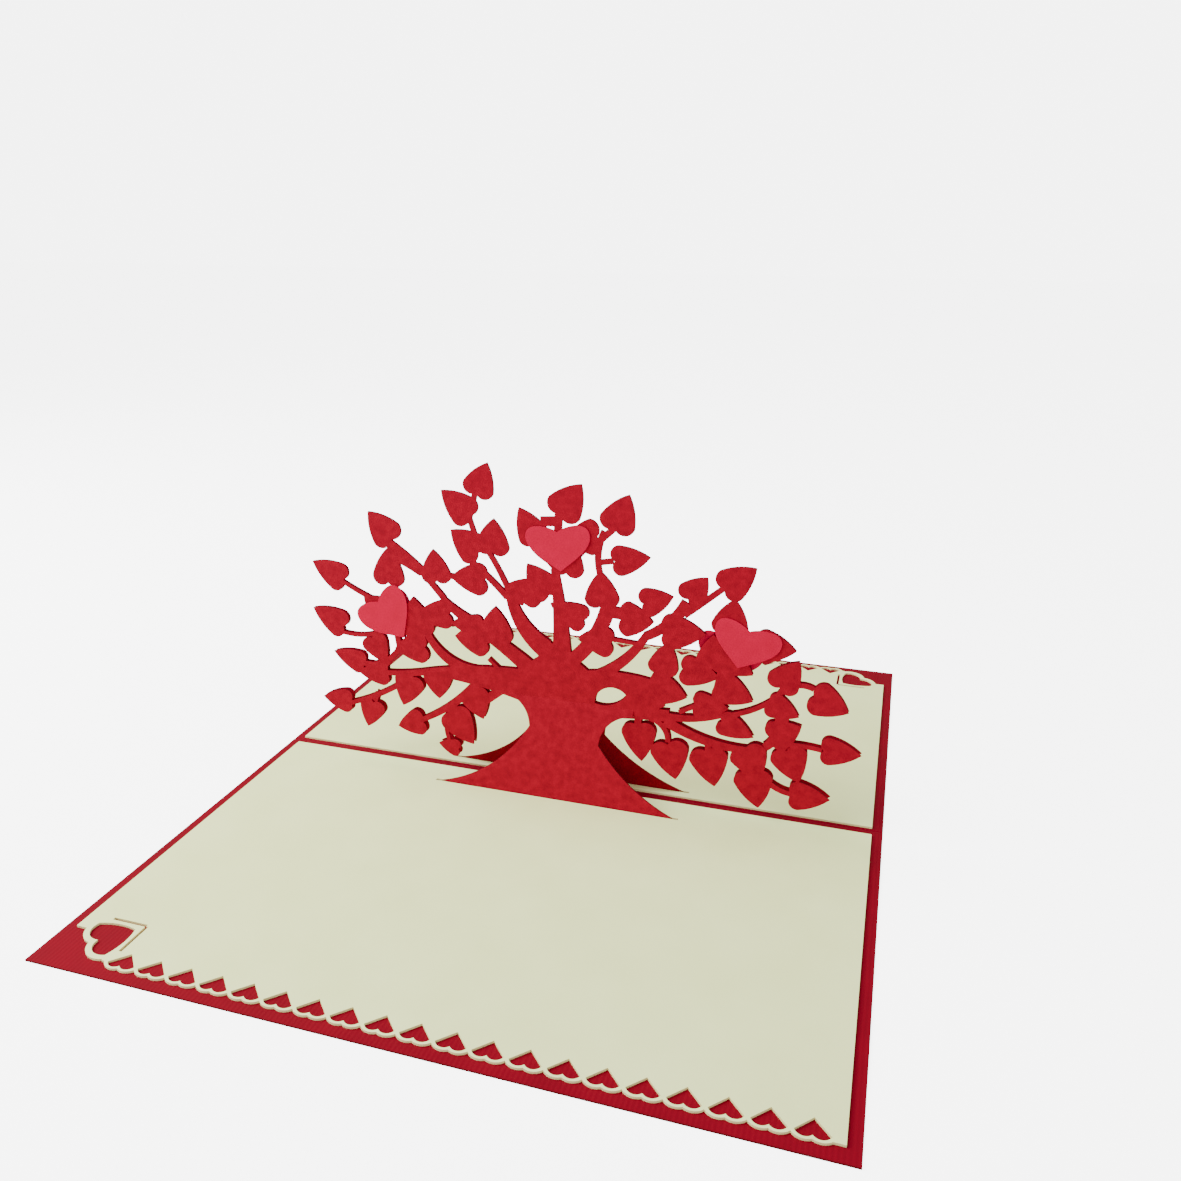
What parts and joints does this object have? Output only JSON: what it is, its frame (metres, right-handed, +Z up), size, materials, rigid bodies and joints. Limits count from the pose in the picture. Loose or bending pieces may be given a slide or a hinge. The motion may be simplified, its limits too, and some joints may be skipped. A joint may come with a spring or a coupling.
{
  "type": "pop up card",
  "caption": "Folded card, open flat, with a standing cut paper tree of heart leaves and pink hearts.",
  "frame": {"origin": "middle of the fold, on the underside of the cover", "axes": "+X along the fold, +Y across it towards the far panel, +Z up out of the open card"},
  "size_m": [0.162, 0.2, 0.0854],
  "materials": {
    "cover_card": "matte ribbed",
    "liner_card": "matte",
    "tree_card": "matte ribbed",
    "pink_card": "matte"
  },
  "bodies": {
    "root": {"cover": "cover_card", "near_liner": "liner_card", "far_liner": "liner_card", "front_tree": "tree_card", "back_tree": "tree_card", "front_heart_left": "pink_card", "front_heart_top": "pink_card", "front_heart_right": "pink_card", "back_heart_left": "pink_card", "back_heart_top": "pink_card", "back_heart_right": "pink_card"}
  },
  "joints": []
}
